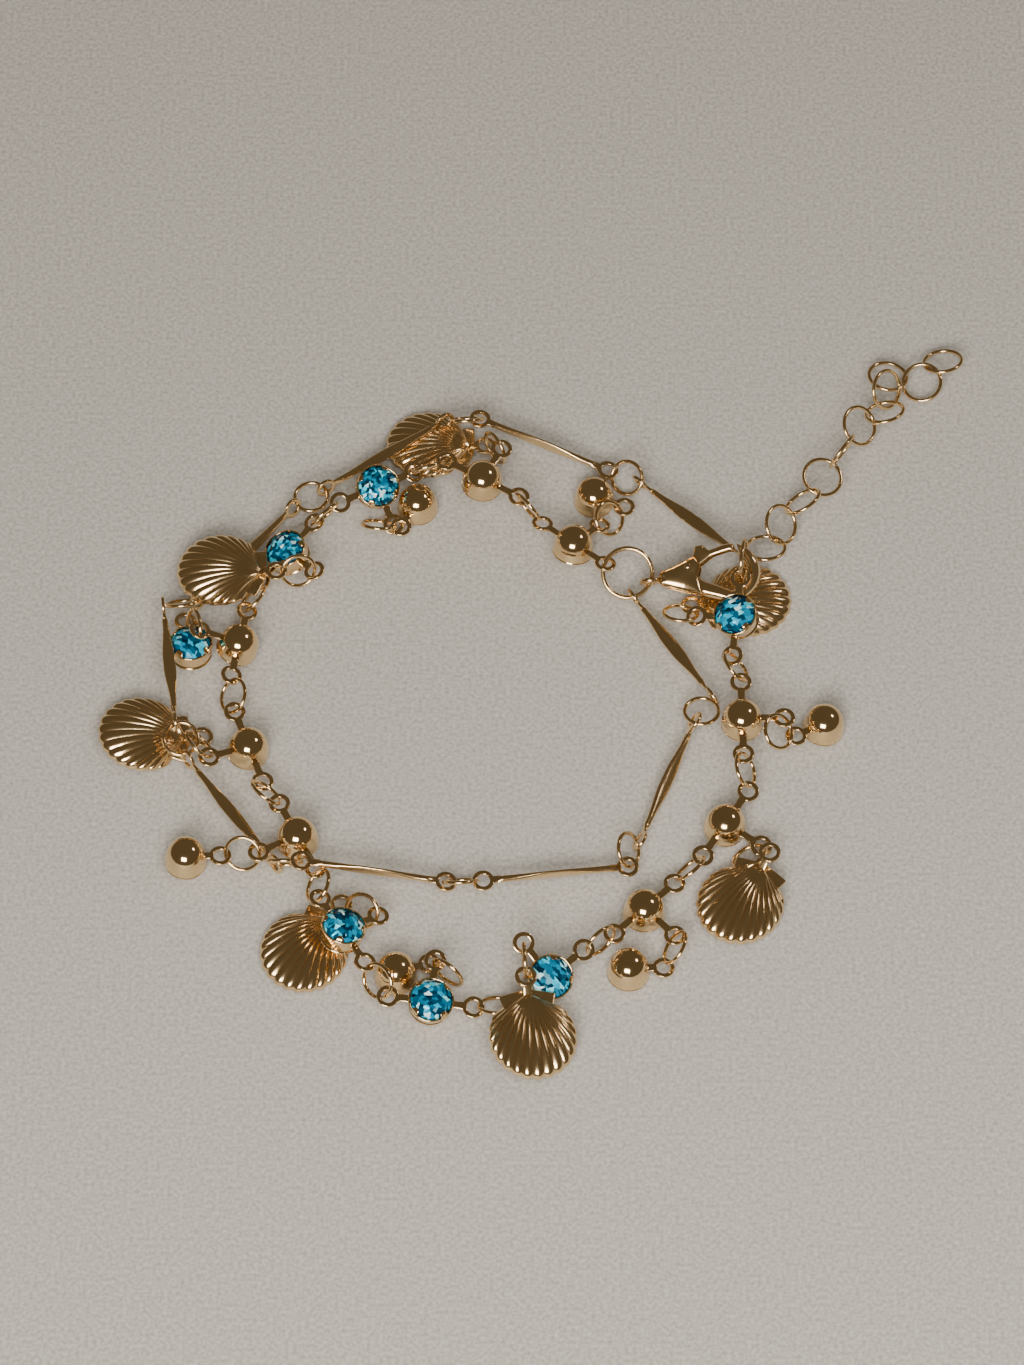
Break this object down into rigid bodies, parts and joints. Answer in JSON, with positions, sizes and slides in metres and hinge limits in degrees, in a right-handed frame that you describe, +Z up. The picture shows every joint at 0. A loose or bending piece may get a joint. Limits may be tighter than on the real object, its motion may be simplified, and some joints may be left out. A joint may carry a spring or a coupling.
{
  "type": "bracelet",
  "caption": "Two-strand charm bracelet of slim bar links and small ball and stone settings with shell drops, closed by a lobster clasp on an extender chain.",
  "frame": {"origin": "middle of the bracelet's bounding box, on the surface that it lies on", "axes": "+Z up from the surface, +X to the right and +Y away from the viewer as it lies in the picture"},
  "size_m": [0.0884, 0.0868, 0.0066],
  "materials": {
    "gold": "polished yellow-gold-coloured plating",
    "stone": "faceted teal-blue glass in a gold-coloured cup"
  },
  "bodies": {
    "bracelet": {"clasp_ring": "gold", "clasp_body": "gold", "extender_chain": "gold", "ball_station_01": "gold", "ball_station_02": "gold", "stone_station_03": "stone", "stone_station_04": "stone", "ball_station_05": "gold", "ball_station_06": "gold", "ball_station_07": "gold", "stone_station_08": "stone", "stone_station_09": "stone", "stone_station_10": "stone", "ball_station_11": "gold", "ball_station_12": "gold", "ball_station_13": "gold", "stone_station_14": "stone", "ball_drop_01": "gold", "shell_charm_02": "gold", "ball_drop_03": "gold", "shell_charm_04": "gold", "stone_drop_05": "stone", "shell_charm_06": "gold", "ball_drop_07": "gold", "shell_charm_08": "gold", "ball_drop_09": "gold", "shell_charm_10": "gold", "ball_drop_11": "gold", "shell_charm_12": "gold", "ball_drop_13": "gold", "shell_charm_14": "gold", "bar_link_01": "gold", "bar_link_02": "gold", "bar_link_03": "gold", "bar_link_04": "gold", "bar_link_05": "gold", "bar_link_06": "gold", "bar_link_07": "gold", "bar_link_08": "gold", "bar_link_09": "gold", "bar_link_10": "gold"},
    "lever": {"clasp_lever": "gold"}
  },
  "joints": [
    {"name": "clasp_lever_hinge", "type": "hinge", "parent": "bracelet", "child": "lever", "pos_m": [0.01509, 0.01464, 0.00328], "axis": [0.1445, 0.4252, -0.8935], "range_deg": [0, 18], "stiffness_Nm_per_rad": 0.01}
  ]
}
